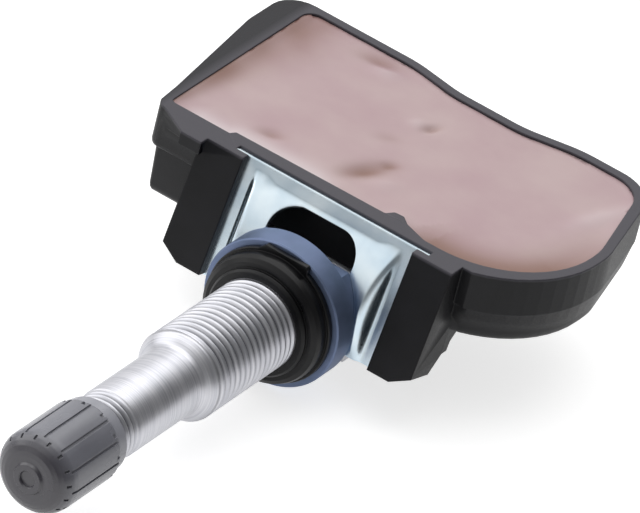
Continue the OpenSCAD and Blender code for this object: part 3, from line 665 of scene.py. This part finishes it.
def skin_lift(settings, x, y, on_left, far):
    """How high the skin stands over the flat potting at a place, in millimetres."""
    # it clings to the left wall more than to the others
    cling = 1.0 if on_left else settings.cling
    lift = settings.rise / MM * cling * exp(-((far / (settings.edge_width / MM)) ** 2))
    for height, size, level in WAVES:
        lift += height * noise.noise(Vector((x / size, y / size, level)))
    for mark in DENTS + BUMPS:
        lift -= mark[3] * patch(x, y, mark)
    return min(lift, settings.rise / MM)


def skin_brown_and_highlight(x, y, left, near_x, near_y, far):
    """Brownness of the skin at a place, from -1 for a painted pale highlight to 1."""
    # bumps have a negative brownness, which paints a pale highlight on them
    brown = sum(mark[4] * patch(x, y, mark) for mark in DENTS + BUMPS)
    # brown where it thins out: along the left wall, wider towards the back
    width = 0.5 + 3.6 * fade(y - 13, 20)
    brown += 0.95 * exp(-(((x - left) / width) ** 2)) * (0.8 + 0.4 * noise.noise(
        Vector((x / 3, y / 5, 1.7))))
    # and round the battery end's front
    brown += exp(-((far / 3.4) ** 2)) * fade(near_x - 7, 4) * fade(31 - near_y, 12)
    # painted highlight: pale where the skin stands up along the front on the left
    if near_y < 18:
        brown -= 0.8 * exp(-((far / 2.0) ** 2)) * fade(near_x - left - 1.5, 2) * fade(-1 - near_x, 3)
    return max(-1.0, min(1.0, brown))


def add_skin(bm, step):
    """Swaps the flat top of the potting for a fine grid, and returns its faces and its border."""
    top = max(vert.co.z for vert in bm.verts)
    bm.normal_update()
    flat = [face for face in bm.faces if face.normal.z > 0.3
            and min(vert.co.z for vert in face.verts) > top - 0.8 * MM]
    bmesh.ops.delete(bm, geom=flat, context="FACES")
    border = [edge for edge in bm.edges if edge.is_boundary]
    for vert in {vert for edge in border for vert in edge.verts}:
        vert.co.z = top
    skin = bmesh.ops.contextual_create(bm, geom=border)["faces"]
    skin[0].material_index = 1
    border = [vert.co.copy() for vert in skin[0].verts]
    low = Vector(min(c[i] for c in border) for i in range(2))
    high = Vector(max(c[i] for c in border) for i in range(2))
    for axis in range(2):
        normal = (1 - axis, axis, 0)
        for line in range(1, int((high[axis] - low[axis]) / step)):
            skin = [face for face in bm.faces if face.material_index]
            parts = {part for face in skin for part in [*face.edges, *face.verts]}
            place = [0, 0, 0]
            place[axis] = low[axis] + line * step
            bmesh.ops.bisect_plane(bm, geom=skin + list(parts), plane_co=place,
                                   plane_no=normal, dist=1e-8)
    return [face for face in bm.faces if face.material_index], border


class SENSOR_OT_potting(bpy.types.Operator):
    """Potting with its dented skin, which climbs the wall"""

    bl_idname = "sensor.potting"
    bl_label = "Potting"

    def execute(self, context):
        settings = context.scene.sensor_potting
        bm = copy_of("potting")
        skin, border = add_skin(bm, settings.skin)
        if not skin:
            raise RuntimeError("the potting has no flat top")
        hollow = bm.verts.layers.float.new("hollow")
        # places along the wall, half a mesh size apart
        wall = [a.lerp(b, part / parts) for a, b in zip(border, border[1:] + border[:1])
                for parts in [max(1, round((b - a).length / (0.5 * settings.skin)))]
                for part in range(parts)]
        tree = kdtree.KDTree(len(wall))
        for place in wall:
            tree.insert(place, 0)
        tree.balance()
        left = min(place.x for place in wall) / MM
        for vert in {vert for face in skin for vert in face.verts}:
            x, y = vert.co.x / MM, vert.co.y / MM
            near, _, far = tree.find(Vector((vert.co.x, vert.co.y, border[0].z)))
            near, far = near / MM, far / MM
            vert.co.z += skin_lift(settings, x, y, near.x < left + 0.5, far) * MM
            # brownness, with a painted pale highlight where it is below 0
            vert[hollow] = skin_brown_and_highlight(x, y, left, near.x, near.y, far)
        for face in bm.faces:
            face.material_index = 0
        bmesh.ops.triangulate(bm, faces=[face for face in bm.faces if len(face.verts) > 4])
        finish_piece("potting_cast", bm, poured_potting(settings), "sensor", "potting",
                     "potting", angle=40)
        return {"FINISHED"}


class SENSOR_OT_inside(bpy.types.Operator):
    """Finishes of the pieces inside the housing, the cap and the stem"""

    bl_idname = "sensor.inside"
    bl_label = "Pieces inside"

    def execute(self, context):
        brass = plain_finish("turned_brass", "#B08D4A", "#C7A662", 1.0, 0.3, 0.3)
        nickel = plain_finish("nickel_plated_steel", "#B5B4AE", "#C9C8C2", 1.0, 0.28, 0.5)
        rubber = seal_rubber(context.scene.sensor_rubber)
        epoxy = plain_finish("moulded_epoxy", "#1C1C1E", "#262628", 0.0, 0.5, 0.1)
        finishes = {
            "core_plug": brass, "core_barrel": brass, "core_pin": brass, "aerial": brass,
            "core_seal": plain_finish("ptfe", "#DAD9D2", "#E6E5DF", 0.0, 0.4, 0.3),
            "pin_cup": rubber, "cap_disc": rubber, "port_seal": rubber,
            "core_spring": plain_finish("spring_steel", "#8E9096", "#A5A7AC", 1.0, 0.3, 0.2),
            "circuit_board": plain_finish("solder_mask", "#14512F", "#1A6139", 0.0, 0.35, 0.4),
            "button_cell": nickel, "cell_tab_top": nickel, "cell_tab_bottom": nickel,
            "crystal": nickel, "sensor_chip": epoxy, "resistors": epoxy,
            "ferrite_core": plain_finish("sintered_ferrite", "#3A3A3D", "#4A4A4D", 0.0, 0.6, 0.1),
            "coil_winding": plain_finish("enamelled_copper", "#8E4A22", "#A85C2E", 1.0, 0.3, 0.1),
            "capacitors": plain_finish("fired_ceramic", "#A08763", "#B39A75", 0.0, 0.5, 0.2),
        }
        for node, material in finishes.items():
            coat(node, material)
        return {"FINISHED"}


# Lamps: name, place and size in metres, and power in watts
LAMPS = [
    ("top_light", (-0.15, 0.12, 0.6), (0.8, 0.7), 1.55),
    ("left_light", (-0.5, -0.15, 0.25), (0.4, 0.4), 0.42),
]
# Towards the brightest part of the surroundings
BRIGHTEST = (-0.845, 0.13, 0.518)


class SENSOR_OT_stage(bpy.types.Operator):
    """Floor, lights, surroundings and camera"""

    bl_idname = "sensor.stage"
    bl_label = "Stage"

    def execute(self, context):
        scene = context.scene
        scene.view_settings.view_transform = "Standard"
        add_world(scene)
        add_floor()
        for lamp in LAMPS:
            add_lamp(*lamp)
        add_camera(scene)
        return {"FINISHED"}


def seen_directly(tree):
    """Outputs of the light path: 1 for camera and transmission rays, and 1 for glossy rays."""
    path = add(tree, "ShaderNodeLightPath")
    seen = add(tree, "ShaderNodeMath", {"operation": "MAXIMUM"},
               _0=path.outputs["Is Camera Ray"], _1=path.outputs["Is Transmission Ray"])
    return seen.outputs[0], path.outputs["Is Glossy Ray"]


def add_world(scene):
    """White surroundings for the camera, which light the object from above on the left."""
    world = bpy.data.worlds.new("surroundings")
    scene.world = world
    world.use_nodes = True
    tree = world.node_tree
    tree.nodes.clear()
    seen, glossy = seen_directly(tree)
    way = add(tree, "ShaderNodeTexCoord").outputs["Generated"]
    above = add(tree, "ShaderNodeVectorMath", {"operation": "DOT_PRODUCT"}, _0=way,
                _1=BRIGHTEST)
    sky = add(tree, "ShaderNodeMapRange", {"interpolation_type": "SMOOTHSTEP", "From Min": -0.15,
              "From Max": 0.5, "To Min": 0.2, "To Max": 1.0}, Value=above.outputs["Value"])
    level = add(tree, "ShaderNodeMapRange", {"To Min": 0.78, "To Max": 1.0}, Value=glossy)
    light = add(tree, "ShaderNodeMath", {"operation": "MULTIPLY"}, _0=sky.outputs[0],
                _1=level.outputs[0])
    strength = add(tree, "ShaderNodeMath", {"operation": "MAXIMUM"}, _0=light.outputs[0],
                   _1=seen)
    back = add(tree, "ShaderNodeBackground", {"Color": (1, 1, 1, 1)}, Strength=strength.outputs[0])
    out = add(tree, "ShaderNodeOutputWorld")
    tree.links.new(back.outputs[0], out.inputs["Surface"])


def add_floor():
    """White sheet under the object on a greyer table; the camera sees it white, with its shadow."""
    low, _ = (Vector(corner) for corner in CAD_BOUNDS)
    bm = bmesh.new()
    bmesh.ops.create_grid(bm, x_segments=1, y_segments=1, size=3.0)
    bmesh.ops.translate(bm, verts=bm.verts, vec=(0, 0, low.z - 0.1 * MM))
    material, tree, shader, where = start_material("white_paper", {"Roughness": 0.9})
    reach = add(tree, "ShaderNodeVectorMath", {"operation": "LENGTH"}, _0=where).outputs["Value"]
    # the sheet ends between 0.1 and 0.35 m from the object
    far = ramp(tree, reach, 0.0, 1.0, 0.1, 0.35)
    tree.links.new(blend(tree, far, "#DCDCDC", "#8E8E90"), shader.inputs["Base Color"])
    seen, glossy = seen_directly(tree)
    shown = add(tree, "ShaderNodeMath", {"operation": "MULTIPLY"}, _0=seen,
                _1=ramp(tree, far, 0.7, 0.95, 0.0, 1.0))
    # the sheet glows in the reflections close to the object
    near = add(tree, "ShaderNodeMath", {"operation": "MULTIPLY"}, _0=glossy,
               _1=ramp(tree, reach, 0.52, 0.0, 0.04, 0.11))
    strength = add(tree, "ShaderNodeMath", {"operation": "ADD"}, _0=shown.outputs[0],
                   _1=near.outputs[0])
    shader.inputs["Emission Color"].default_value = (1, 1, 1, 1)
    tree.links.new(strength.outputs[0], shader.inputs["Emission Strength"])
    mesh = bpy.data.meshes.new("floor")
    bm.to_mesh(mesh)
    bm.free()
    mesh.materials.append(material)
    floor = bpy.data.objects.new("floor", mesh)
    bpy.context.scene.collection.objects.link(floor)


def add_lamp(name, place, size, power):
    """Soft rectangular lamp that faces the origin."""
    data = bpy.data.lights.new(name, "AREA")
    data.shape = "RECTANGLE"
    data.size, data.size_y = size
    data.energy = power
    lamp = bpy.data.objects.new(name, data)
    lamp.location = place
    lamp.rotation_euler = (-Vector(place)).to_track_quat("-Z", "Y").to_euler()
    bpy.context.scene.collection.objects.link(lamp)


def add_camera(scene):
    """Camera at the photograph's angle."""
    settings = scene.sensor_stage
    data = bpy.data.cameras.new("camera")
    data.sensor_fit = "HORIZONTAL"
    data.sensor_width = 36.0
    data.lens = settings.lens
    data.clip_end = 20.0
    camera = bpy.data.objects.new("camera", data)
    right = Vector(settings.right).normalized()
    back = right.cross(Vector(settings.up)).normalized()
    turn = Matrix((right, back.cross(right), back)).transposed()
    camera.matrix_world = Matrix.Translation(settings.eye) @ turn.to_4x4()
    scene.collection.objects.link(camera)
    scene.camera = camera


class SENSOR_PT_panel(bpy.types.Panel):
    """Lists the sensor's pieces"""

    bl_label = "Tyre pressure sensor"
    bl_space_type = "VIEW_3D"
    bl_region_type = "UI"
    bl_category = "Sensor"

    def draw(self, context):
        for operator in OPERATORS:
            self.layout.operator(operator.bl_idname)


SETTINGS = {
    "sensor_stem": StemSettings,
    "sensor_cap": CapSettings,
    "sensor_rubber": RubberSettings,
    "sensor_bracket": BracketSettings,
    "sensor_housing": HousingSettings,
    "sensor_potting": PottingSettings,
    "sensor_stage": StageSettings,
}
OPERATORS = [
    SENSOR_OT_stem, SENSOR_OT_cap, SENSOR_OT_seal, SENSOR_OT_washer, SENSOR_OT_bracket,
    SENSOR_OT_housing, SENSOR_OT_potting, SENSOR_OT_inside, SENSOR_OT_stage,
]


def register():
    for cls in [*SETTINGS.values(), *OPERATORS, SENSOR_PT_panel]:
        bpy.utils.register_class(cls)
    for name, cls in SETTINGS.items():
        setattr(bpy.types.Scene, name, PointerProperty(type=cls))


def unregister():
    for name in SETTINGS:
        delattr(bpy.types.Scene, name)
    for cls in [SENSOR_PT_panel, *reversed(OPERATORS), *SETTINGS.values()]:
        bpy.utils.unregister_class(cls)


def main():
    register()
    for operator in OPERATORS:
        group, name = operator.bl_idname.split(".")
        getattr(getattr(bpy.ops, group), name)()


if __name__ == "__main__":
    main()
